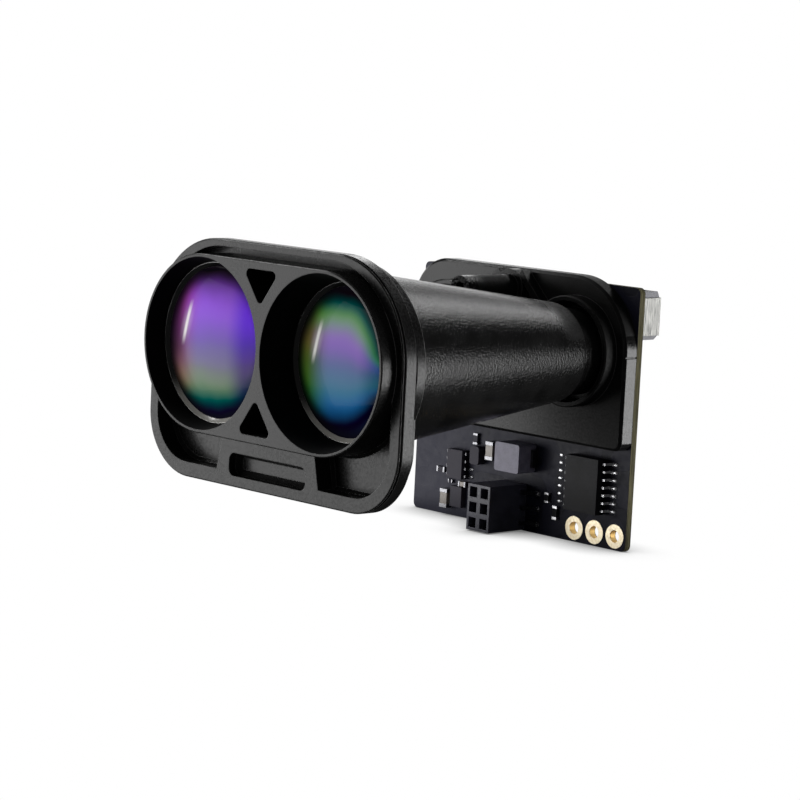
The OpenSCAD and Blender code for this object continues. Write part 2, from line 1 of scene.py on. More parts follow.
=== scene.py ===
import logging
from dataclasses import dataclass, field
from enum import Enum
from functools import reduce
from typing import ClassVar

import bpy
import numpy as np
from mathutils import Matrix, Vector


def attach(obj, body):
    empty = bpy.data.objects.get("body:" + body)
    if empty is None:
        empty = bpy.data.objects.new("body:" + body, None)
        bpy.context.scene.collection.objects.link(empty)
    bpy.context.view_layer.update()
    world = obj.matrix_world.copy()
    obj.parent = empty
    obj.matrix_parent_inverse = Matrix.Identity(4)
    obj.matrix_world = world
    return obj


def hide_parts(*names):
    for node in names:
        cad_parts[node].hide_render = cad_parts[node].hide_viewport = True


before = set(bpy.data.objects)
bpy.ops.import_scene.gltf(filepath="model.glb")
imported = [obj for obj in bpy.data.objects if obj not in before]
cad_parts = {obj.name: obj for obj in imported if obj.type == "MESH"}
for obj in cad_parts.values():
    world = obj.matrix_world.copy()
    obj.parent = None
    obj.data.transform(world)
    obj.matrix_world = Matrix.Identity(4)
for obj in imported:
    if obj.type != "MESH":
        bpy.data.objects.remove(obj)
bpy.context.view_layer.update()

MM = 0.001
LOG = logging.getLogger("range_module")

# Angle between two faces from which their edge stays sharp, and the least rounding of a profile
SHARP = np.radians(50)
LEAST_ROUND = 0.01

# How far a solder bead leaves the circle towards the square
SQUARENESS = 0.45

# Ranges of a noise's values: nearly all, the middle, the middle and upward, the upper part
NOISE = (0.3, 0.7)
MIDDLE = (0.35, 0.65)
UPWARD = (0.35, 0.7)
UPPER = (0.5, 0.8)

# Cosine between a rounded normal and the face's own, on a face and on a full edge, and rays that find it
EDGE_COSINE = (0.995, 0.75)
EDGE_RAYS = 6

Material = bpy.types.Material
Socket = bpy.types.NodeSocket
Value = float | Socket
Pair = tuple[float, float]
Triple = tuple[float, float, float]
Colour = tuple[float, float, float, float]


class Slot(Enum):
    """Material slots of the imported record."""

    FRAME = "frame_plastic"
    SEAL = "seal_rubber"
    RING = "ring_metal"
    RECEIVER_GLASS = "receiver_glass"
    EMITTER_GLASS = "emitter_glass"
    FILTER = "filter_glass"
    BARREL = "barrel_plastic"
    CAN = "can_metal"
    BOARD = "solder_mask"
    SCREW = "screw_steel"
    SOCKET = "socket_plastic"
    CHIP = "chip_plastic"
    TIN = "tin"
    # Darker copy of tin for the socket's tails: painted shade, as they lie in the socket's shadow
    DULL_TIN = "dull_tin"
    FERRITE = "ferrite"
    CERAMIC = "capacitor_ceramic"
    GOLD = "gold"
    SHIELD = "shield_steel"


class Side(Enum):
    """The two optical axes, by their place along X in millimetres."""

    RECEIVER = -13.9
    EMITTER = 13.9


def tone(red: int, green: int, blue: int) -> Colour:
    """Turns a screen colour into the linear colour that a shader takes, by the sRGB curve.

    Args:
        red, green, blue: channels from 0 to 255 as a screen shows them.

    Returns:
        The linear colour with full alpha.
    """
    c = np.array([red, green, blue]) / 255.0
    lin = np.where(c <= 0.04045, c / 12.92, ((c + 0.055) / 1.055) ** 2.4)
    return (float(lin[0]), float(lin[1]), float(lin[2]), 1.0)


def grey(level: float) -> Colour:
    """Neutral linear colour with full alpha."""
    return (level, level, level, 1.0)


def placed(name: str, data: bpy.types.ID) -> bpy.types.Object:
    """Puts an object into the scene.

    Args:
        name: name of the object.
        data: the mesh, lamp or camera that it shows.

    Returns:
        The object, at the origin.
    """
    made = bpy.data.objects.new(name, data)
    bpy.context.scene.collection.objects.link(made)
    return made


@dataclass
class Form:
    """Points of a surface in millimetres and its faces, four or three corners each."""

    points: np.ndarray
    quads: np.ndarray
    tris: np.ndarray = field(default_factory=lambda: np.zeros((0, 3), int))

    def mesh(self, name: str) -> bpy.types.Object:
        """Makes the form an object in metres, faces outwards, smooth but for its sharp edges.

        The faces look inwards where the tetrahedra between them and the origin sum up to less
        than zero, and are then turned.

        Args:
            name: name of the piece.

        Returns:
            The new object, at the origin.
        """
        corners = np.concatenate([self.quads[:, [0, 1, 2]], self.quads[:, [0, 2, 3]], self.tris])
        way = -1 if np.linalg.det(self.points[corners]).sum() < 0 else 1
        faces = self.quads[:, ::way].tolist() + self.tris[:, ::way].tolist()
        data = bpy.data.meshes.new(name)
        data.from_pydata((self.points * MM).tolist(), [], faces)
        data.update()
        data.shade_smooth()
        data.set_sharp_from_angle(angle=SHARP)
        return placed(name, data)


def eased_profile(corners: list[list[float]], radii: tuple[float, ...], steps: int = 6) -> np.ndarray:
    """Rounds every corner of a closed profile.

    At each corner the circle of the given radius touches both sides; its arc, taken at
    equal angles from one touching point to the other, stands for the corner.

    Args:
        corners: profile corners (depth, radius), in order.
        radii: rounding radius at each corner.
        steps: points on each arc.

    Returns:
        The points of the rounded profile.
    """
    p = np.asarray(corners, float)
    r = np.maximum(np.asarray(radii, float), LEAST_ROUND)
    a = np.roll(p, 1, 0) - p
    b = np.roll(p, -1, 0) - p
    a /= np.linalg.norm(a, axis=1, keepdims=True)
    b /= np.linalg.norm(b, axis=1, keepdims=True)
    half = np.arccos(np.clip((a * b).sum(1), -1, 1)) / 2
    bisector = (a + b) / np.linalg.norm(a + b, axis=1, keepdims=True)
    centre = p + bisector * (r / np.sin(half))[:, None]
    reach = (r / np.tan(half))[:, None]
    first = p + a * reach - centre
    last = p + b * reach - centre
    start = np.arctan2(first[:, 1], first[:, 0])
    sweep = np.arctan2(last[:, 1], last[:, 0]) - start
    sweep = (sweep + np.pi) % (2 * np.pi) - np.pi
    angle = start[:, None] + sweep[:, None] * np.linspace(0, 1, steps)
    arc = centre[:, None] + r[:, None, None] * np.stack([np.cos(angle), np.sin(angle)], -1)
    return arc.reshape(-1, 2)


def around(profile: np.ndarray, x: float, turns: int) -> np.ndarray:
    """Carries profile points round an axis along Y.

    A profile point (depth, radius) at angle a lies at (x + radius cos a, depth, radius sin a).

    Args:
        profile: points of (depth, radius).
        x: place of the axis.
        turns: steps round the axis.

    Returns:
        The points, one row of turns for each profile point.
    """
    a = np.linspace(0, 2 * np.pi, turns, endpoint=False)
    depth, radius = profile[:, :1], profile[:, 1:]
    return np.stack([x + radius * np.cos(a), depth + 0 * a, radius * np.sin(a)], -1).reshape(-1, 3)


def walls(rows: int, turns: int, closed: bool = False) -> np.ndarray:
    """Quads between neighbouring rows of points that each close on themselves.

    Args:
        rows, turns: number of rows and of points in each.
        closed: whether the last row meets the first.

    Returns:
        The four corners of each quad.
    """
    i, j = np.meshgrid(np.arange(rows if closed else rows - 1), np.arange(turns), indexing="ij")
    down, along = (i + 1) % rows, (j + 1) % turns
    quads = np.stack([i * turns + j, down * turns + j, down * turns + along, i * turns + along], -1)
    return quads.reshape(-1, 4)


def caps(rows: int, turns: int) -> np.ndarray:
    """Triangles that close the first and the last row with the two points that follow the rows.

    Args:
        rows, turns: number of rows and of points in each.

    Returns:
        The three corners of each triangle.
    """
    k = np.arange(turns)
    following = (k + 1) % turns
    last = (rows - 1) * turns
    front = np.stack([np.full(turns, rows * turns), k, following], -1)
    back = np.stack([np.full(turns, rows * turns + 1), last + following, last + k], -1)
    return np.concatenate([front, back])


def turned_loop(profile: np.ndarray, x: float, turns: int = 192) -> Form:
    """Carries a closed profile of (depth, radius) round an axis along Y at x, in so many steps."""
    return Form(around(profile, x, turns), walls(len(profile), turns, closed=True))


def turned_solid(profile: np.ndarray, x: float, turns: int = 192) -> Form:
    """Carries an open profile from axis to axis round an axis along Y, with one point at each pole.

    Args:
        profile: (depth, radius) points; the first and the last lie on the axis.
        x: place of the axis.
        turns: steps round the axis.

    Returns:
        The closed solid's surface.
    """
    inner = profile[1:-1]
    poles = np.array([[x, profile[0, 0], 0.0], [x, profile[-1, 0], 0.0]])
    points = np.concatenate([around(inner, x, turns), poles])
    return Form(points, walls(len(inner), turns), caps(len(inner), turns))


def solder_beads(places: np.ndarray, sizes: np.ndarray, face: float, rings: int = 7,
                 turns: int = 20) -> Form:
    """Domes of solder on the board's front, one for each place.

    On a bead the share s runs from the top (0) to the edge (1) and the angle a runs round it:
    x and z leave the middle by s times the half width along a squared-off circle, and the
    height over the board is the bead's height times the root of 1 - s squared.

    Args:
        places: middles (x, z) of the beads.
        sizes: half width, half length and height of each.
        face: depth of the board's front face.
        rings, turns: steps from the top to the edge and round it.

    Returns:
        All beads as one form, each closed underneath.
    """
    s = np.sin(np.linspace(0, np.pi / 2, rings + 1)[1:])
    a = np.linspace(0, 2 * np.pi, turns, endpoint=False)
    square = 1 / np.maximum(np.abs(np.cos(a)), np.abs(np.sin(a))) ** SQUARENESS
    px = places[:, 0, None, None] + sizes[:, 0, None, None] * s[:, None] * np.cos(a) * square
    pz = places[:, 1, None, None] + sizes[:, 1, None, None] * s[:, None] * np.sin(a) * square
    py = face - sizes[:, 2, None, None] * np.sqrt(np.clip(1 - s**2, 0, 1))[:, None] + 0 * px
    dome = np.stack([px, py, pz], -1).reshape(len(places), -1, 3)
    top = np.stack([places[:, 0], face - sizes[:, 2], places[:, 1]], -1)[:, None]
    low = np.stack([places[:, 0], np.full(len(places), face), places[:, 1]], -1)[:, None]
    points = np.concatenate([dome, top, low], 1)
    step = (np.arange(len(places)) * points.shape[1])[:, None, None]
    quads = walls(rings, turns)[None] + step
    tris = caps(rings, turns)[None] + step
    return Form(points.reshape(-1, 3), quads.reshape(-1, 4), tris.reshape(-1, 3))


class Wiring:
    """Node tree with short calls for the nodes that the finishes and the studio share."""

    def __init__(self, tree: bpy.types.NodeTree) -> None:
        """Takes the tree of a material or of the world and empties it."""
        self.tree = tree
        self.tree.nodes.clear()

    def node(self, kind: str, settings: dict, inputs: dict) -> bpy.types.Node:
        """Adds a node.

        Args:
            kind: type of the node, without the ShaderNode that every type starts with.
            settings: its properties by name.
            inputs: a number, colour or socket for each input, by name or place.

        Returns:
            The node.
        """
        made = self.tree.nodes.new(f"ShaderNode{kind}")
        for key, value in settings.items():
            setattr(made, key, value)
        self.feed(made, inputs)
        return made

    def feed(self, node: bpy.types.Node, inputs: dict) -> None:
        """Links sockets to a node's inputs and sets the inputs that get a value.

        Args:
            node: the node.
            inputs: a number, colour or socket for each input, by name or place.
        """
        for key, value in inputs.items():
            if isinstance(value, Socket):
                self.tree.links.new(value, node.inputs[key])
            else:
                node.inputs[key].default_value = value

    def math(self, kind: str, a: Value, b: Value = 0.0) -> Socket:
        """One step of arithmetic on two values."""
        return self.node("Math", {"operation": kind}, {0: a, 1: b}).outputs[0]

    def vector(self, kind: str, a: object, b: object) -> bpy.types.Node:
        """One step of arithmetic on two vectors."""
        return self.node("VectorMath", {"operation": kind}, {0: a, 1: b})

    def product(self, *values: Value) -> Socket:
        """All the values multiplied."""
        return reduce(lambda a, b: self.math("MULTIPLY", a, b), values)

    def length(self, a: Socket, b: Socket) -> Socket:
        """Root of the sum of two squares."""
        return self.math("SQRT", self.math("ADD", self.product(a, a), self.product(b, b)))

    def span(self, value: Value, low: float, high: float,
             to_low: Value = 0.0, to_high: Value = 1.0) -> Socket:
        """Carries a value smoothly from one range onto another, and holds the ends."""
        inputs = {"Value": value, "From Min": low, "From Max": high, "To Min": to_low, "To Max": to_high}
        return self.node("MapRange", {"interpolation_type": "SMOOTHSTEP"}, inputs).outputs[0]

    def blend(self, share: Value, a: object, b: object, kind: str = "MIX") -> Socket:
        """Mixes two colours by the share of the second, in one of the mix node's ways."""
        settings = {"data_type": "RGBA", "blend_type": kind}
        return self.node("Mix", settings, {0: share, 6: a, 7: b}).outputs[2]

    def ramp(self, value: Value, stops: tuple[tuple[float, Colour], ...], ease: str = "LINEAR") -> Socket:
        """Colours along a value, between named stops.

        Args:
            value: where on the ramp.
            stops: place and colour of each stop, the first at the low end.
            ease: how the colours pass into each other.

        Returns:
            The colour.
        """
        made = self.node("ValToRGB", {}, {0: value})
        line = made.color_ramp
        line.interpolation = ease
        line.elements[0].position, line.elements[0].color = stops[0]
        line.elements[1].position, line.elements[1].color = stops[-1]
        for place, colour in stops[1:-1]:
            line.elements.new(place).color = colour
        return made.outputs[0]

    def rays(self, *kinds: str) -> Socket:
        """1 for rays of the kinds named, 0 for all others."""
        path = self.node("LightPath", {}, {}).outputs
        return reduce(lambda a, b: self.math("MAXIMUM", a, b), [path[f"Is {kind} Ray"] for kind in kinds])

    def close(self, kind: str, lit: Socket, seen: Socket) -> None:
        """Ends the tree with one shader for the light and one for what is seen or mirrored.

        Args:
            kind: Material or World.
            lit: shader for the light itself.
            seen: shader for rays from the camera and for mirrored or passed-on rays.
        """
        share = self.rays("Camera", "Glossy", "Transmission")
        mix = self.node("MixShader", {}, {0: share, 1: lit, 2: seen})
        self.node(f"Output{kind}", {}, {"Surface": mix.outputs[0]})


class Sketch(Wiring):
    """Node tree of one finish: a Principled shader and the place on the piece in millimetres."""

    def __init__(self, name: str) -> None:
        """Starts a material.

        Args:
            name: name of the material.
        """
        self.material = bpy.data.materials.new(name)
        self.material.use_nodes = True
        super().__init__(self.material.node_tree)
        self.shader = self.node("BsdfPrincipled", {}, {})
        self.node("OutputMaterial", {}, {"Surface": self.shader.outputs[0]})
        where = self.node("TexCoord", {}, {}).outputs["Object"]
        self.place = self.vector("MULTIPLY", where, (1 / MM, 1 / MM, 1 / MM)).outputs[0]
        self.x, self.y, self.z = self.node("SeparateXYZ", {}, {0: self.place}).outputs

    def noise(self, size: float, detail: float = 3.0, stretch: Triple = (1, 1, 1)) -> Socket:
        """Noise about 0.5; its patches are size millimetres across, times stretch along each axis."""
        place = self.vector("MULTIPLY", self.place, [1 / (size * s) for s in stretch]).outputs[0]
        return self.node("TexNoise", {}, {"Vector": place, "Scale": 1.0, "Detail": detail}).outputs[0]

    def cells(self, size: float) -> Socket:
        """Distance to the middle of irregular cells about so many millimetres across."""
        inputs = {"Vector": self.place, "Scale": 1 / size}
        return self.node("TexVoronoi", {}, inputs).outputs["Distance"]

    def eased(self, radius: float) -> Socket:
        """Normal that rounds the piece's edges over so many millimetres."""
        return self.node("Bevel", {"samples": EDGE_RAYS}, {"Radius": radius * MM}).outputs[0]

    def edge(self, eased: Socket) -> Socket:
        """How much a rounded normal leaves the face's own: 0 on a face, up to 1 on an edge."""
        own = self.node("NewGeometry", {}, {}).outputs["Normal"]
        return self.span(self.vector("DOT_PRODUCT", own, eased).outputs["Value"], *EDGE_COSINE)

    def bump(self, height: Socket, depth: float, normal: Socket) -> Socket:
        """Relief on a normal, so many millimetres deep for a height that goes from 0 to 1."""
        inputs = {"Height": height, "Distance": depth * MM, "Strength": 1.0, "Normal": normal}
        return self.node("Bump", {}, inputs).outputs[0]

    def within(self, value: Socket, reach: float) -> Socket:
        """1 where a value is nearer to zero than reach, 0 elsewhere."""
        return self.math("LESS_THAN", self.math("ABSOLUTE", value), reach)

    def bore(self, reach: float) -> Socket:
        """1 within so many millimetres of either optical axis, 0 outside."""
        off = self.math("SUBTRACT", self.math("ABSOLUTE", self.x), Side.EMITTER.value)
        return self.math("LESS_THAN", self.length(off, self.z), reach)

    def shade(self, **inputs: object) -> Material:
        """The material, once its shader has these inputs, named with underscores for spaces."""
        self.feed(self.shader, {key.replace("_", " "): value for key, value in inputs.items()})
        return self.material


@dataclass(frozen=True)
class ThroatShade:
    """Dead black inside the frame's two hoods and in the core-outs between them: painted shade in these
    recesses, with the hoods' matt black lining.
    """

    hood_r: float = 13.43
    hood_y: float = 0.02
    core_x: float = 5.2
    core_z: float = 13.2
    core_y: float = 0.15
    # Painted shade: near-black of the hoods and core-outs
    colour: Colour = grey(0.0012)
    roughness: float = 0.85

    def reach(self, s: Sketch) -> Socket:
        """Marks the places of painted shade.

        Args:
            s: the sketch of the finish.

        Returns:
            1 behind the front edge of a hood or core-out, 0 elsewhere.
        """
        hood = s.product(s.bore(self.hood_r), s.math("GREATER_THAN", s.y, self.hood_y))
        sunk = s.math("GREATER_THAN", s.y, self.core_y)
        core = s.product(s.within(s.z, self.core_z), sunk, s.within(s.x, self.core_x))
        return s.math("MAXIMUM", hood, core)


@dataclass(frozen=True)
class RearFade:
    """Change of the barrels' plastic to the rear: shallow relief, and two places that are more matt."""

    relief_y: Pair = (48.0, 50.0)
    relief_kept: float = 0.2
    plate_y: Pair = (51.0, 52.0)
    plate_x: Pair = (-14.0, 24.0)
    plate_edge: float = 24.3
    plate_matt: float = 0.46
    end_y: Pair = (43.0, 47.0)
    end_z: Pair = (2.0, 4.0)
    end_matt: float = 0.5

    def relief(self, s: Sketch, grain: Socket) -> Socket:
        """The grain, of which only a share is kept on the plate behind the barrels."""
        return s.product(grain, s.span(s.y, *self.relief_y, 1.0, self.relief_kept))

    def matt(self, s: Sketch) -> Socket:
        """Extra roughness: on the plate, more to the right, and on the barrels' upper rear ends.

        Args:
            s: the sketch of the finish.

        Returns:
            What is added to the roughness.
        """
        plate = s.span(s.y, *self.plate_y)
        face = s.product(plate, s.math("LESS_THAN", s.x, self.plate_edge))
        right = s.product(face, s.span(s.x, *self.plate_x, 0.0, self.plate_matt))
        end = s.product(s.span(s.y, *self.end_y, 0.0, self.end_matt), s.span(s.z, *self.end_z))
        return s.math("ADD", right, s.product(end, s.math("SUBTRACT", 1.0, plate)))


@dataclass(frozen=True)
class MouldedPlastic:
    """Moulded plastic with a spark-eroded grain and soft edges, lighter on them by wear and by painted
    highlight.
    """

    name: str
    dark: Colour
    light: Colour
    # Edge colour: wear together with a painted highlight on the edges
    wear_and_highlight: Colour
    roughness: float
    gloss: float
    grain: float = 0.34
    depth: float = 0.02
    edge: float = 0.22
    cloud: float = 5.0
    wear_and_highlight_size: float = 1.6
    wear_and_highlight_share: Pair = (0.5, 1.0)
    swing: Pair = (-0.06, 0.08)
    # Painted light: colour towards which the piece is lightened to the left
    painted_light: Colour | None = None
    painted_light_x: Pair = (2.0, -4.0)
    # Painted reflection: how much lighter the piece is made lower down, and over which heights
    painted_crescent: float = 0.0
    painted_crescent_z: Pair = (-6.0, -10.5)
    throat_shade: ThroatShade | None = None
    rear: RearFade | None = None

    def make(self) -> Material:
        """Builds the material: cloudy colour, edges lighter by wear and painted highlight, and grain in gloss
        and relief.

        Where the fields say so, it is lighter to the left by painted light, lighter lower down by a
        painted reflection, dead black in the hoods by painted shade, or changed to the rear.

        Returns:
            The material.
        """
        s = Sketch(self.name)
        soft = s.eased(self.edge)
        grain = s.noise(self.grain)
        colour = s.blend(s.span(s.noise(self.cloud, 2.0), *MIDDLE), self.dark, self.light)
        # Painted light: lighter to the left, where more light falls
        if self.painted_light:
            colour = s.blend(s.span(s.x, *self.painted_light_x), colour, self.painted_light)
        # Painted highlight with wear: patches along the edges made lighter, as rounded edges catch the light
        edge_wear_and_highlight = s.product(s.edge(soft), s.span(s.noise(self.wear_and_highlight_size), *NOISE, *self.wear_and_highlight_share))
        colour = s.blend(edge_wear_and_highlight, colour, self.wear_and_highlight)
        rough = s.span(grain, *NOISE, *np.add(self.roughness, self.swing))
        if self.throat_shade:
            # Painted shade: dead black and matt in the hoods and core-outs
            black = self.throat_shade.reach(s)
            colour = s.blend(black, colour, self.throat_shade.colour)
            rough = s.math("MAXIMUM", rough, s.product(black, self.throat_shade.roughness))
        # Painted reflection: lighter lower down, the bright crescent at the bottom of the lens rings
        if self.painted_crescent:
            colour = s.blend(s.span(s.z, *self.painted_crescent_z, 0.0, self.painted_crescent), colour, self.wear_and_highlight)
        relief = grain
        if self.rear:
            relief = self.rear.relief(s, grain)
            rough = s.math("ADD", rough, self.rear.matt(s))
        normal = s.bump(relief, self.depth, soft)
        return s.shade(Base_Color=colour, Roughness=rough, Normal=normal, Specular_IOR_Level=self.gloss)


class Film(Enum):
    """Colours that the lens coatings show, painted as the reflection they give."""

    PLUM = tone(40, 20, 40)
    VIOLET = tone(140, 85, 210)
    LILAC = tone(120, 100, 175)
    MIST = tone(120, 120, 140)
    SAGE = tone(110, 130, 110)
    PALE_GREEN = tone(110, 150, 115)
    PURPLE = tone(140, 115, 185)
    SLATE = tone(105, 110, 160)
    STEEL = tone(75, 120, 150)
    BLUE = tone(35, 95, 145)
    TEAL = tone(30, 90, 80)
    NAVY = tone(10, 25, 55)
    # Near-black of painted shade at the lens rims, also the darkest film
    SHADE_BLACK = tone(15, 12, 20)


@dataclass(frozen=True)
class Streak:
    """Leaning streak of mirrored light on a lens; places are shares of the lens radius."""

    share: float = 0.8
    u: float = -0.565
    v: float = 0.22
    lean: float = 0.24
    lean_from: float = 0.2
    core_u: Pair = (0.06, 0.01)
    core_v: Pair = (0.34, 0.1)
    glow_u: Pair = (0.16, 0.0)
    glow_v: Pair = (0.3, 0.0)
    glow: float = 0.3
    colour: Colour = (0.9, 0.9, 0.86, 1.0)

    def cover(self, s: Sketch, u: Socket, v: Socket) -> Socket:
        """A bright core within a faint glow, both fading along and across the streak.

        Args:
            s: the sketch of the finish.
            u, v: place on the lens, across and up.

        Returns:
            How much of the streak shows.
        """
        lean = s.product(s.math("SUBTRACT", v, self.lean_from), self.lean)
        across = s.math("ABSOLUTE", s.math("SUBTRACT", s.math("SUBTRACT", u, lean), self.u))
        along = s.math("ABSOLUTE", s.math("SUBTRACT", v, self.v))
        core = s.product(s.span(across, *self.core_u), s.span(along, *self.core_v, 0.0, self.share))
        faint = s.span(across, *self.glow_u, 0.0, self.glow)
        return s.math("MAXIMUM", core, s.product(faint, s.span(along, *self.glow_v, 0.0, self.share)))


@dataclass(frozen=True)
class CoatedGlass:
    """Coated lens with painted reflection: film colours that run down the glass and are tinted to each side.

    Places on the lens are shares of its radius, u across and v up.
    """

    name: str
    x: float
    radius: float
    film: tuple[tuple[float, Film], ...]
    left: Colour
    right: Colour
    left_u: Pair = (-0.22, -0.8)
    right_u: Pair = (0.26, 0.66)
    bow_top: float = 0.0
    bow_low: float = 0.0
    bow_v: Pair = (-0.45, 0.2)
    # Painted shade on the left of the glass, and where it sets in across and up
    left_shade: float = 0.0
    left_shade_u: Pair = (-0.45, -0.85)
    left_shade_v: Pair = (0.0, 0.5)
    cloud: float = 6.0
    cloud_share: float = 0.08
    smear: float = 2.2
    smear_at: Pair = (0.35, 0.75)
    smear_rough: Pair = (0.2, 0.3)
    coat: float = 0.03
    # Painted shade at the rim of the glass and, where set, at its right edge
    rim: Pair = (0.76, 1.0)
    rim_shade: float = 0.88
    right_shade: float = 0.0
    right_rim: Pair = (0.6, 0.8)
    streak: Streak | None = None

    def make(self) -> Material:
        """Builds the material: one run of film and a tint to each side as painted reflection, a rim of
        painted shade and a streak of painted highlight.

        The run goes down the glass; to the right it bows away from the middle by u squared,
        and a cloud breaks it up a little.

        Returns:
            The material.
        """
        s = Sketch(self.name)
        u = s.math("DIVIDE", s.math("SUBTRACT", s.x, self.x), self.radius)
        v = s.math("DIVIDE", s.z, self.radius)
        cloud = s.product(s.math("SUBTRACT", s.noise(self.cloud, 1.0), 0.5), self.cloud_share)
        to_right = s.math("MAXIMUM", u, 0.0)
        bow = s.product(to_right, to_right, s.span(v, *self.bow_v, -self.bow_low, self.bow_top))
        down = s.product(s.math("SUBTRACT", 1.0, s.math("ADD", v, bow)), 0.5)
        run = tuple((at, film.value) for at, film in self.film)
        # Painted reflection: the coating's colours, running down the glass
        colour = s.ramp(s.math("ADD", down, cloud), run, "CARDINAL")
        colour = s.blend(s.span(u, *self.left_u), colour, self.left, "MULTIPLY")
        colour = s.blend(s.span(u, *self.right_u), colour, self.right, "MULTIPLY")
        # Painted shade: darker to the left, more so higher up
        left_shade_share = s.product(s.span(u, *self.left_shade_u), s.span(v, *self.left_shade_v, 0.0, self.left_shade))
        colour = s.blend(left_shade_share, colour, Film.PLUM.value)
        # Painted shade: a dark rim, and a dark right edge where set
        edge = s.span(s.length(u, v), *self.rim, 0.0, self.rim_shade)
        if self.right_shade:
            edge = s.math("MAXIMUM", edge, s.span(u, *self.right_rim, 0.0, self.right_shade))
        colour = s.blend(edge, colour, Film.SHADE_BLACK.value)
        if self.streak:
            colour = s.blend(self.streak.cover(s, u, v), colour, self.streak.colour)
        smear = s.span(s.noise(self.smear, 2.0), *self.smear_at, *self.smear_rough)
        return s.shade(Base_Color=colour, Roughness=smear, Specular_IOR_Level=0.0,
                       Coat_Weight=self.coat, Coat_Roughness=self.coat)


@dataclass(frozen=True)
class PlatedMetal:
    """Bright plated or turned metal with fine tarnish and soft edges."""

    name: str
    colour: Colour
    tarnish: Colour
    roughness: float
    patch: float = 0.5
    patch_at: Pair = (0.4, 0.75)
    gloss_patch: float = 0.6
    swing: Pair = (0.75, 1.3)
    edge: float = 0.06
    depth: float = 0.004
    # Colour towards which the metal turns darker to the left
    left_tone: Colour | None = None
    left_tone_x: Pair = (7.5, 6.5)
    # Painted shade: darker colour of the plating inside a bore, from a depth on
    bore: Colour | None = None
    bore_shade_y: Pair = (58.12, 58.42)

    def make(self) -> Material:
        """Builds the material: patchy tarnish, uneven gloss and shallow relief.

        Where the fields say so, it is darker to the left, or darker and browner inside a bore from a depth
        on, as painted shade.

        Returns:
            The material.
        """
        s = Sketch(self.name)
        patch = s.noise(self.patch)
        colour = s.blend(s.span(patch, *self.patch_at), self.colour, self.tarnish)
        # Darker to the left
        if self.left_tone:
            colour = s.blend(s.span(s.x, *self.left_tone_x), colour, self.left_tone)
        # Painted shade: darker and browner inside the bore
        if self.bore:
            colour = s.blend(s.span(s.y, *self.bore_shade_y), colour, self.bore)
        gloss = s.noise(self.patch * self.gloss_patch)
        rough = s.span(gloss, *NOISE, *np.multiply(self.roughness, self.swing))
        normal = s.bump(patch, self.depth, s.eased(self.edge))
        return s.shade(Base_Color=colour, Metallic=1.0, Roughness=rough, Normal=normal)


@dataclass(frozen=True)
class BrushedSheet:
    """Rolled sheet steel with fine lines along Z."""

    name: str
    colour: Colour
    line: Colour
    roughness: float
    swing: Pair = (-0.06, 0.1)
    width: float = 0.12
    stretch: float = 22.0
    depth: float = 0.003
    edge: float = 0.12

    def make(self) -> Material:
        """Builds the material: long noise as rolling lines in colour, gloss and relief.

        Returns:
            The material.
        """
        s = Sketch(self.name)
        lines = s.noise(self.width, 2.0, (1.0, 1.0, self.stretch))
        colour = s.blend(s.span(lines, *UPWARD), self.colour, self.line)
        rough = s.span(lines, *NOISE, *np.add(self.roughness, self.swing))
        normal = s.bump(lines, self.depth, s.eased(self.edge))
        return s.shade(Base_Color=colour, Metallic=1.0, Roughness=rough, Normal=normal)


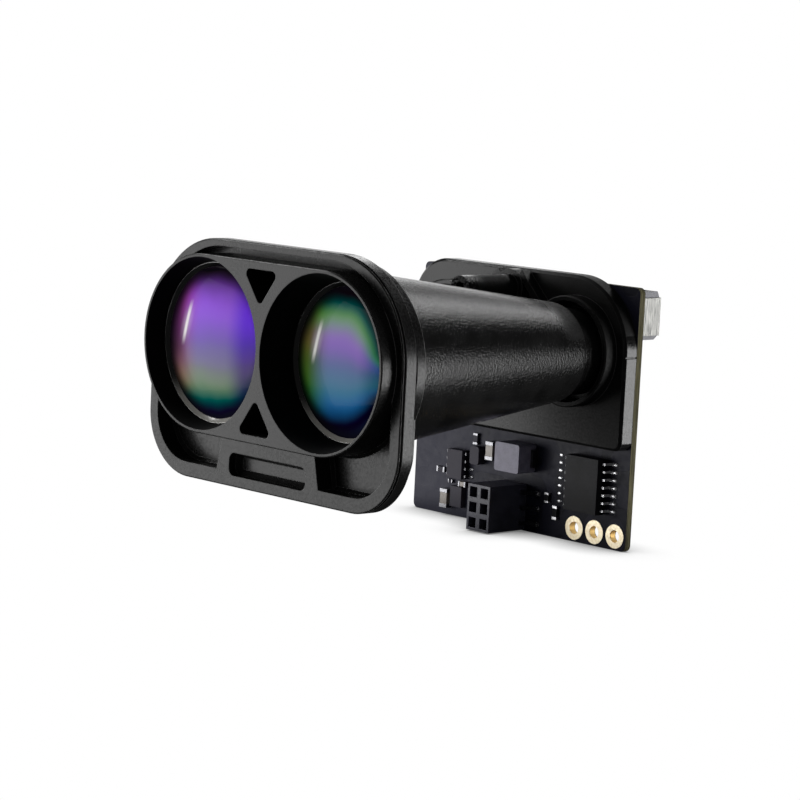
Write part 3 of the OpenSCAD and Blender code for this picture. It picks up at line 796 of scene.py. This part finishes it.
@dataclass(frozen=True)
class SolderMask:
    """Circuit board: dark lacquer over copper on its faces, laminate at its edges, plated holes."""

    name: str
    mask: Colour
    copper: Colour
    # Painted light: mask colour on the front's left part
    painted_light: Colour
    laminate: Colour
    fibre: Colour
    plating: Colour
    roughness: Pair = (0.34, 0.44)
    gloss_patch: float = 0.9
    side_rough: float = 0.3
    gloss: float = 0.06
    depth: float = 0.012
    copper_relief: float = 0.8
    cloud: float = 0.6
    cloud_relief: float = 0.4
    edge: float = 0.08
    front: float = 58.0
    back: float = 59.2
    skin: float = 0.03
    front_part: float = 0.4
    painted_light_x: Pair = (-4.0, -18.0)
    copper_field: float = 4.5
    copper_edge: Pair = (0.49, 0.5)
    speck: float = 0.5
    speck_share: float = 0.3
    layer: float = 0.16
    layer_at: Pair = (0.4, 0.6)
    layer_form: Triple = (40.0, 1.0, 40.0)
    strand: float = 0.7
    strand_form: Triple = (1.0, 0.3, 1.0)
    strand_share: float = 0.5
    hole_x: float = 17.85
    hole_z: float = -29.2
    hole_r: float = 1.06
    pitch: float = 4.5
    row_from: float = 10.0

    def holes(self, s: Sketch) -> Socket:
        """1 at the row of wire holes, 0 elsewhere.

        Args:
            s: the sketch of the finish.

        Returns:
            The value.
        """
        along = s.math("PINGPONG", s.math("SUBTRACT", s.x, self.hole_x - self.pitch), self.pitch / 2)
        gap = s.length(along, s.math("SUBTRACT", s.z, self.hole_z))
        return s.product(s.math("LESS_THAN", gap, self.hole_r), s.math("GREATER_THAN", s.x, self.row_from))

    def make(self) -> Material:
        """Builds the material: mask over copper fields, laminate at the edge, gold in the wire holes.

        On the front the mask is lighter to the left by painted light. The edge shows thin layers with strands
        of fibre.

        Returns:
            The material.
        """
        s = Sketch(self.name)
        forward = s.math("LESS_THAN", s.y, self.front + self.front_part)
        copper = s.product(s.span(s.noise(self.copper_field, 0.0), *self.copper_edge), forward)
        sunk = s.math("MINIMUM", s.math("SUBTRACT", s.y, self.front), s.math("SUBTRACT", self.back, s.y))
        side = s.math("GREATER_THAN", sunk, self.skin)
        lacquer = s.blend(copper, self.mask, self.copper)
        # Painted light: the mask on the front lighter to the left
        lacquer = s.blend(s.product(forward, s.span(s.x, *self.painted_light_x)), lacquer, self.painted_light)
        specks = s.span(s.noise(self.speck), *UPPER, 0.0, self.speck_share)
        lacquer = s.blend(specks, lacquer, self.copper)
        layers = s.noise(self.layer, 1.0, self.layer_form)
        strands = s.noise(self.strand, 2.0, self.strand_form)
        core = s.blend(s.span(layers, *self.layer_at), self.laminate, self.fibre)
        core = s.blend(s.span(strands, *UPPER, 0.0, self.strand_share), core, self.fibre)
        colour = s.blend(side, lacquer, core)
        plated = s.product(side, self.holes(s))
        colour = s.blend(plated, colour, self.plating)
        rough = s.span(s.noise(self.gloss_patch), *NOISE, *self.roughness)
        rough = s.math("ADD", rough, s.product(side, self.side_rough))
        relief = s.product(s.noise(self.cloud), self.cloud_relief)
        relief = s.math("ADD", s.product(copper, self.copper_relief), relief)
        normal = s.bump(relief, self.depth, s.eased(self.edge))
        return s.shade(Base_Color=colour, Metallic=plated, Roughness=rough, Normal=normal,
                       Specular_IOR_Level=self.gloss)


@dataclass(frozen=True)
class SpeckledSolid:
    """Sintered or fired body with grains of a second colour: ferrite and ceramic."""

    name: str
    colour: Colour
    speck: Colour
    roughness: float
    gloss: float
    size: float = 0.22
    speck_at: Pair = (0.55, 0.2)
    speck_share: float = 0.6
    gloss_at: Pair = (0.1, 0.7)
    swing: Pair = (0.06, -0.05)
    cloud: float = 1.2
    cloud_share: float = 0.5
    depth: float = 0.008
    edge: float = 0.1

    def make(self) -> Material:
        """Builds the material: cell-shaped grains, cloudy body and soft edges.

        Returns:
            The material.
        """
        s = Sketch(self.name)
        grain = s.cells(self.size)
        clouds = s.span(s.noise(self.cloud), *UPWARD, 0.0, self.cloud_share)
        colour = s.blend(clouds, self.colour, self.speck)
        colour = s.blend(s.span(grain, *self.speck_at, 0.0, self.speck_share), colour, self.speck)
        rough = s.span(grain, *self.gloss_at, *np.add(self.roughness, self.swing))
        normal = s.bump(grain, self.depth, s.eased(self.edge))
        return s.shade(Base_Color=colour, Roughness=rough, Normal=normal, Specular_IOR_Level=self.gloss)


def coatings() -> dict[Slot, CoatedGlass]:
    """Sets the film of the two lenses and of the filter, a painted reflection of their coatings.

    Returns:
        The finish of each slot of glass.
    """
    receiver = CoatedGlass(
        "receiver_coating", Side.RECEIVER.value, 11.8,
        film=((0.03, Film.PLUM), (0.25, Film.VIOLET), (0.5, Film.LILAC), (0.66, Film.MIST),
              (0.78, Film.SAGE), (0.88, Film.TEAL), (0.96, Film.NAVY)),
        left=(1.3, 0.58, 0.5, 1.0), right=(0.5, 0.28, 1.05, 1.0), bow_low=0.4,
        left_shade=0.8, left_shade_v=(-0.6, -0.1), streak=Streak())
    emitter = CoatedGlass(
        "emitter_coating", Side.EMITTER.value, 11.35,
        film=((0.04, Film.SHADE_BLACK), (0.12, Film.TEAL), (0.21, Film.PALE_GREEN), (0.34, Film.PURPLE),
              (0.5, Film.SLATE), (0.68, Film.STEEL), (0.8, Film.BLUE), (0.9, Film.NAVY)),
        left=(0.62, 0.85, 0.06, 1.0), right=(0.12, 0.55, 0.55, 1.0), bow_top=1.4, bow_low=1.0,
        left_shade=0.85, left_shade_v=(0.1, 0.6), right_shade=0.94, streak=Streak())
    band_filter = CoatedGlass(
        "filter_coating", Side.RECEIVER.value, 5.8,
        film=((0.0, Film.PLUM), (0.5, Film.LILAC), (1.0, Film.PLUM)),
        left=(0.4, 0.2, 0.4, 1.0), right=(0.4, 0.2, 0.4, 1.0))
    return {Slot.RECEIVER_GLASS: receiver, Slot.EMITTER_GLASS: emitter, Slot.FILTER: band_filter}


def plastics() -> dict[Slot, MouldedPlastic]:
    """Sets the mouldings' finishes and that of the anodised rings.

    Returns:
        The finish of each slot.
    """
    return {
        # The third colour of each moulding lights its edges: wear and painted highlight
        Slot.FRAME: MouldedPlastic(
            "frame_black", grey(0.005), grey(0.008), grey(0.24), 0.27, 0.1,
            depth=0.012, edge=0.18, throat_shade=ThroatShade()),
        Slot.BARREL: MouldedPlastic(
            "barrel_black", grey(0.004), grey(0.007), grey(0.12), 0.15, 0.11,
            grain=0.35, depth=0.08, edge=0.16, rear=RearFade()),
        Slot.SEAL: MouldedPlastic(
            "seal_black", grey(0.003), grey(0.006), grey(0.008), 0.7, 0.0,
            grain=0.15, depth=0.01),
        Slot.SOCKET: MouldedPlastic(
            "socket_nylon", tone(44, 44, 54), tone(54, 54, 66), tone(96, 96, 110),
            0.42, 0.3, grain=0.2, depth=0.008, edge=0.1),
        # Chip epoxy, lightened to the left by painted light
        Slot.CHIP: MouldedPlastic(
            "chip_epoxy", tone(13, 13, 16), tone(20, 20, 24), tone(48, 48, 54),
            0.46, 0.08, grain=0.12, depth=0.006, edge=0.08, painted_light=tone(50, 48, 56)),
        # Black anodised rings, lighter at the bottom by a painted reflection
        Slot.RING: MouldedPlastic(
            "ring_anodised", grey(0.0015), grey(0.003), (0.4, 0.39, 0.36, 1.0),
            0.18, 1.0, grain=0.2, depth=0.003, edge=0.1, painted_crescent=0.6),
    }


def finishes() -> dict[Slot, Material]:
    """Makes every finish of the module.

    Returns:
        The material of each slot.
    """
    solids = {
        Slot.CAN: PlatedMetal("can_gold", tone(232, 196, 120), tone(196, 156, 84), 0.22),
        Slot.SCREW: PlatedMetal("screw_steel", tone(112, 112, 114), tone(84, 84, 88), 0.5),
        Slot.TIN: PlatedMetal(
            "tin_solder", tone(244, 244, 246), tone(206, 206, 210), 0.4, patch=0.3,
            left_tone=tone(116, 116, 119)),
        # Painted shade: the tails' tin darker, as they lie in the socket's shadow
        Slot.DULL_TIN: PlatedMetal("tail_tin", tone(112, 112, 120), tone(70, 70, 78), 0.42, patch=0.3),
        # Gold pads, darker inside the holes by painted shade
        Slot.GOLD: PlatedMetal(
            "gold_plate", tone(248, 236, 208), tone(236, 220, 184), 0.5, patch=0.4,
            bore=tone(92, 78, 58)),
        Slot.SHIELD: BrushedSheet("shield_steel", tone(132, 132, 129), tone(104, 104, 103), 0.6),
        # Board mask, lightened to the left by painted light
        Slot.BOARD: SolderMask(
            "board_mask", mask=tone(21, 21, 31), copper=tone(28, 28, 40),
            painted_light=tone(46, 46, 57), laminate=tone(52, 50, 35), fibre=tone(84, 80, 57),
            plating=tone(226, 196, 130)),
        Slot.FERRITE: SpeckledSolid("inductor_ferrite", tone(96, 94, 110), tone(120, 117, 134), 0.48, 0.3),
        Slot.CERAMIC: SpeckledSolid(
            "capacitor_ceramic", tone(112, 104, 96), tone(130, 122, 114), 0.4, 0.4,
            size=0.12),
    }
    made = plastics() | coatings() | solids
    return {slot: finish.make() for slot, finish in made.items()}


@dataclass
class SubAssembly:
    """Part of the module: the nodes it dresses and the new pieces it adds."""

    paint: dict[Slot, Material]
    nodes: ClassVar[dict[str, Slot]] = {}

    def build(self) -> None:
        """Builds the sub-assembly, which is only dressed where it has no new pieces."""
        self.dress()

    def dress(self) -> None:
        """Gives every node of the sub-assembly its finish."""
        for name, slot in self.nodes.items():
            self.cover(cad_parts[name], slot)
            LOG.info("%s: finish %s", name, slot.value)

    def cover(self, piece: bpy.types.Object, slot: Slot) -> None:
        """Puts a finish on a piece.

        Args:
            piece: the object.
            slot: the slot of its finish.
        """
        if not piece.material_slots:
            piece.data.materials.append(self.paint[slot])
        for place in piece.material_slots:
            place.link = "OBJECT"
            place.material = self.paint[slot]

    def add(self, name: str, form: Form, slot: Slot, stands_for: str = "") -> None:
        """Adds a new piece to the module.

        Args:
            name: name of the piece.
            form: its surface.
            slot: slot of its finish.
            stands_for: node that it replaces, if any.
        """
        piece = form.mesh(name)
        self.cover(piece, slot)
        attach(piece, "root")
        if stands_for:
            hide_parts(stands_for)
        LOG.info("%s: %d points, finish %s", name, len(form.points), slot.value)


@dataclass
class FrontFrame(SubAssembly):
    """The moulded frame, the seal in its edge and the flange behind it."""

    nodes: ClassVar[dict[str, Slot]] = {
        "front_frame": Slot.FRAME, "frame_seal": Slot.SEAL, "barrel_flange": Slot.FRAME}


@dataclass
class LensUnit(SubAssembly):
    """One lens and the chamfered ring that holds it."""

    side: Side = Side.RECEIVER
    ring_y: float = 3.2
    ring_r: float = 12.5
    chamfer_d: float = 0.5
    chamfer_r: float = 0.7
    wall: float = 0.4
    grip: float = 0.5
    rim: float = 2.0
    tail: float = 0.2
    curve: float = 48.0
    dome_steps: int = 40
    ring_edges: tuple[float, ...] = (0.08, 0.06, 0.03, 0.02, 0.05, 0.1)

    def seat(self) -> Pair:
        """Depth and radius of the chamfer's inner edge, where the glass begins."""
        return self.ring_y + self.chamfer_d, self.ring_r - self.chamfer_r

    def glass(self) -> np.ndarray:
        """Profile of the lens: a circle's arc from the axis to the rim, the rim, and a flat back.

        Returns:
            Its points (depth, radius), from axis to axis.
        """
        y, r = self.seat()
        centre = y + np.sqrt(self.curve**2 - r**2)
        a = np.linspace(0, np.arcsin(r / self.curve), self.dome_steps)
        dome = np.stack([centre - self.curve * np.cos(a), self.curve * np.sin(a)], -1)
        edge = np.array([[y, r + self.grip], [y + self.rim, r + self.grip], [y + self.rim, 0.0]])
        return np.concatenate([dome, edge])

    def ring(self) -> np.ndarray:
        """Profile of the ring: chamfer towards the glass, seat behind it, plain outside, broken edges.

        Returns:
            Its points (depth, radius), closed.
        """
        y, r = self.seat()
        back = y + self.rim + self.tail
        out = self.ring_r + self.wall
        corners = [[self.ring_y, out], [self.ring_y, self.ring_r], [y, r], [y, r + self.grip],
                   [back, r + self.grip], [back, out]]
        return eased_profile(corners, self.ring_edges)

    def build(self) -> None:
        """Makes the lens and the ring in place of their nodes."""
        name = self.side.name.lower()
        slot = Slot.RECEIVER_GLASS if self.side is Side.RECEIVER else Slot.EMITTER_GLASS
        x = self.side.value
        self.add(f"{name}_lens_glass", turned_solid(self.glass(), x), slot, f"{name}_lens")
        self.add(f"{name}_ring_turned", turned_loop(self.ring(), x), Slot.RING, f"{name}_lens_ring")


@dataclass
class Barrel(SubAssembly):
    """One tapered barrel with its root ring and neck."""

    side: Side = Side.RECEIVER
    front: float = 7.55
    root_end: float = 8.45
    taper_end: float = 49.5
    neck_end: float = 56.8
    root_r: float = 14.3
    front_r: float = 13.6
    rear_r: float = 8.0
    neck_r: float = 7.0
    bore_front: float = 12.6
    bore_taper: float = 12.4
    bore_rear: float = 5.8
    edges: tuple[float, ...] = (0.05, 0.35, 0.35, 0.4, 0.3, 0.15, 0.1, 0.5, 0.05, 0.05, 0.05)

    def profile(self) -> np.ndarray:
        """Profile of the wall: root ring, taper and neck outside, stepped cone inside, edges rounded.

        Returns:
            Its points (depth, radius), closed.
        """
        outside = [[self.front, self.root_r], [self.root_end, self.root_r], [self.root_end, self.front_r],
                   [self.taper_end, self.rear_r], [self.taper_end, self.neck_r], [self.neck_end, self.neck_r]]
        inside = [[self.neck_end, self.bore_rear], [self.taper_end, self.bore_rear],
                  [self.root_end, self.bore_taper], [self.root_end, self.bore_front],
                  [self.front, self.bore_front]]
        return eased_profile(outside + inside, self.edges)

    def build(self) -> None:
        """Makes the barrel in place of its node."""
        name = self.side.name.lower()
        form = turned_loop(self.profile(), self.side.value)
        self.add(f"{name}_barrel_moulding", form, Slot.BARREL, f"{name}_barrel")


@dataclass
class RearPlate(SubAssembly):
    """The plate that holds the barrels' necks, with the optics behind them."""

    nodes: ClassVar[dict[str, Slot]] = {
        "rear_plate": Slot.BARREL, "receiver_filter": Slot.FILTER, "photodiode": Slot.CAN,
        "laser_diode": Slot.CAN, "board_screws": Slot.SCREW}


@dataclass(frozen=True)
class LeadRows:
    """Two upright rows of leads with a solder bead at each foot.

    The rows stand half apart on each side of x. A bead's size is its half width, its half
    length and its height; those of the left row may differ and lie further out.
    """

    x: float
    z: float
    half: float
    count: int
    pitch: float
    bead: Triple
    left_bead: Triple | None = None
    left_out: float = 0.0

    def places(self) -> np.ndarray:
        """Sets out the beads.

        Returns:
            Their middles (x, z), the left row first.
        """
        row = (np.arange(self.count) - (self.count - 1) / 2) * self.pitch + self.z
        columns = [self.x - self.half - self.left_out, self.x + self.half]
        return np.stack([np.repeat(columns, self.count), np.tile(row, 2)], -1)

    def sizes(self) -> np.ndarray:
        """Sizes of the beads, the left row first."""
        return np.repeat([self.left_bead or self.bead, self.bead], self.count, axis=0)


@dataclass
class CircuitBoard(SubAssembly):
    """The board with its chips, sockets and solder."""

    face: float = 58.0
    soldered: tuple[LeadRows, ...] = (
        LeadRows(x=16.3, z=-21.5, half=5.2, count=7, pitch=1.27, bead=(0.75, 0.36, 0.28),
                 left_bead=(0.42, 0.26, 0.14), left_out=1.45),
        LeadRows(x=-13.8, z=-22.4, half=2.85, count=4, pitch=1.27, bead=(0.5, 0.3, 0.16)),
        LeadRows(x=-0.47, z=-27.43, half=5.15, count=3, pitch=2.54, bead=(0.75, 0.5, 0.24)),
    )
    nodes: ClassVar[dict[str, Slot]] = {
        "main_board": Slot.BOARD, "wire_pads": Slot.GOLD, "pin_socket": Slot.SOCKET,
        "pin_socket_tails": Slot.DULL_TIN, "interface_chip": Slot.CHIP, "interface_chip_leads": Slot.TIN,
        "regulator_chip": Slot.CHIP, "regulator_chip_leads": Slot.TIN, "driver_chip": Slot.CHIP,
        "clamp_diode": Slot.CHIP, "power_inductor": Slot.FERRITE, "inductor_terminals": Slot.TIN,
        "ceramic_capacitors": Slot.CERAMIC, "capacitor_terminals": Slot.TIN,
        "chip_resistors": Slot.CHIP, "resistor_terminals": Slot.TIN}

    def build(self) -> None:
        """Dresses the board's nodes and adds the solder of both chips' leads and the socket's tails."""
        self.dress()
        places = np.concatenate([rows.places() for rows in self.soldered])
        sizes = np.concatenate([rows.sizes() for rows in self.soldered])
        self.add("lead_solder", solder_beads(places, sizes, self.face), Slot.TIN)


@dataclass
class RearConnector(SubAssembly):
    """The shielded connector on the back of the board."""

    nodes: ClassVar[dict[str, Slot]] = {
        "rear_connector_body": Slot.SOCKET, "rear_connector_shield": Slot.SHIELD,
        "rear_connector_contacts": Slot.GOLD}


@dataclass(frozen=True)
class Lamp:
    """Soft area lamp that looks at a point of the module. Places are in metres."""

    name: str
    place: Triple
    size: Pair
    radiance: float
    target: Triple = (0.0, 0.03, -0.005)

    def hang(self) -> None:
        """Makes the lamp; its power is radiance times pi times its area."""
        data = bpy.data.lights.new(self.name, "AREA")
        data.shape = "RECTANGLE"
        data.size, data.size_y = self.size
        data.energy = self.radiance * np.pi * self.size[0] * self.size[1]
        lamp = placed(self.name, data)
        lamp.location = self.place
        way = Vector(self.target) - Vector(self.place)
        lamp.rotation_mode = "QUATERNION"
        lamp.rotation_quaternion = way.to_track_quat("-Z", "Y")
        LOG.info("lamp %s", self.name)


@dataclass(frozen=True)
class ContactShadow:
    """Grey of the floor by how much of the air over it is shut off within a reach in metres."""

    reach: float
    samples: int
    dark: tuple[float, Colour]
    clear: tuple[float, Colour]

    def paint(self, w: Wiring) -> Socket:
        """Grey at a place of the floor, from dark to clear."""
        open_air = w.node("AmbientOcclusion", {"samples": self.samples}, {"Distance": self.reach})
        return w.ramp(open_air.outputs["AO"], (self.dark, self.clear))


@dataclass
class Studio:
    """Floor, world, lamps and camera. Places are in metres, angles in degrees."""

    floor_z: float = -0.03147
    floor_r: float = 0.043
    floor_steps: int = 96
    middle: Pair = (0.012, 0.058)
    floor_grey: float = 0.85
    shadow: ContactShadow = ContactShadow(0.009, 16, (0.25, grey(0.16)), (0.97, grey(1.0)))
    mirrored: ContactShadow = ContactShadow(0.08, 8, (0.6, grey(0.01)), (1.0, grey(0.2)))
    ambient: float = 0.2
    dim: float = 0.04
    card: Pair = (0.8, 0.94)
    camera_at: Triple = (0.33704, -0.28798, 0.04837)
    azimuth: float = 46.65
    elevation: float = 7.0
    roll: float = -2.92
    lens: float = 132.236
    sensor: float = 36.0
    clip: Pair = (0.01, 20.0)
    lamps: tuple[Lamp, ...] = (
        Lamp("front_left_box", (-0.30, -0.285, -0.03), (0.44, 0.22), 7.0),
        Lamp("top_back_box", (-0.10, 0.86, 0.55), (0.40, 0.21), 8.0),
        Lamp("back_left_box", (-0.302, 0.328, 0.235), (0.11, 0.17), 4.4),
        Lamp("back_top_box", (-0.205, 0.35, 0.318), (0.11, 0.075), 3.5),
        Lamp("right_back_box", (0.28, 0.27, -0.05), (0.16, 0.14), 17.0),
        Lamp("right_low_box", (0.228, 0.387, -0.05), (0.10, 0.15), 6.0),
        Lamp("left_top_box", (-0.33, -0.05, 0.30), (0.12, 0.12), 14.0),
    )

    def back(self) -> np.ndarray:
        """Direction from the module to the camera, by azimuth and elevation."""
        a, e = np.radians([self.azimuth, self.elevation])
        return np.array([np.sin(a) * np.cos(e), -np.cos(a) * np.cos(e), np.sin(e)])

    def sky(self) -> None:
        """White world to the eye, a white card behind the module in mirrors, soft grey fill otherwise."""
        world = bpy.data.worlds.new("studio_white")
        world.use_nodes = True
        w = Wiring(world.node_tree)
        toward = w.node("TexCoord", {}, {}).outputs["Generated"]
        facing = w.vector("DOT_PRODUCT", toward, tuple(-self.back())).outputs["Value"]
        white = w.math("MAXIMUM", w.span(facing, *self.card, self.dim), w.rays("Camera"))
        fill = w.node("Background", {}, {"Color": grey(1.0), "Strength": self.ambient})
        seen = w.node("Background", {}, {"Color": white, "Strength": 1.0})
        w.close("World", fill.outputs[0], seen.outputs[0])
        bpy.context.scene.world = world

    def floor(self) -> None:
        """White floor under the board's lower edge, with the soft shadow where the module meets it."""
        a = np.linspace(0, 2 * np.pi, self.floor_steps, endpoint=False)
        x = self.middle[0] + self.floor_r * np.cos(a)
        y = self.middle[1] + self.floor_r * np.sin(a)
        edge = np.stack([x, y, 0 * a + self.floor_z], -1)
        data = bpy.data.meshes.new("studio_floor")
        data.from_pydata(edge.tolist(), [], [list(range(len(edge)))])
        floor = placed("studio_floor", data)
        material = bpy.data.materials.new("floor_white")
        material.use_nodes = True
        w = Wiring(material.node_tree)
        shown = w.blend(w.rays("Camera"), self.mirrored.paint(w), self.shadow.paint(w))
        board = w.node("BsdfDiffuse", {}, {"Color": grey(self.floor_grey)})
        seen = w.node("Emission", {}, {"Color": shown})
        w.close("Material", board.outputs[0], seen.outputs[0])
        data.materials.append(material)
        LOG.info("floor and its soft shadow")

    def camera(self) -> None:
        """Camera at the photograph's place: back along azimuth and elevation, turned by roll."""
        a, r = np.radians([self.azimuth, self.roll])
        back = self.back()
        right = np.array([np.cos(a), np.sin(a), 0.0])
        up = np.cross(back, right)
        turned_right = np.cos(r) * right - np.sin(r) * up
        turned_up = np.sin(r) * right + np.cos(r) * up
        pose = np.eye(4)
        pose[:3] = np.stack([turned_right, turned_up, back, np.array(self.camera_at)], 1)
        data = bpy.data.cameras.new("camera")
        data.sensor_width = self.sensor
        data.lens = self.lens
        data.clip_start, data.clip_end = self.clip
        camera = placed("camera", data)
        camera.matrix_world = Matrix(pose.tolist())
        bpy.context.scene.camera = camera
        LOG.info("camera")

    def build(self) -> None:
        """Sets the stage, the light and the camera."""
        bpy.context.scene.view_settings.view_transform = "Standard"
        self.sky()
        self.floor()
        for lamp in self.lamps:
            lamp.hang()
        self.camera()


def main() -> None:
    """Builds the studio and the module's sub-assemblies in order."""
    logging.basicConfig(level=logging.INFO, format="%(name)s: %(message)s")
    Studio().build()
    paint = finishes()
    FrontFrame(paint).build()
    LensUnit(paint, side=Side.RECEIVER, ring_y=3.2, ring_r=12.5).build()
    LensUnit(paint, side=Side.EMITTER, ring_y=5.6, ring_r=12.05).build()
    Barrel(paint, side=Side.RECEIVER).build()
    Barrel(paint, side=Side.EMITTER).build()
    RearPlate(paint).build()
    CircuitBoard(paint).build()
    RearConnector(paint).build()
    bpy.context.view_layer.update()


if __name__ == "__main__":
    main()
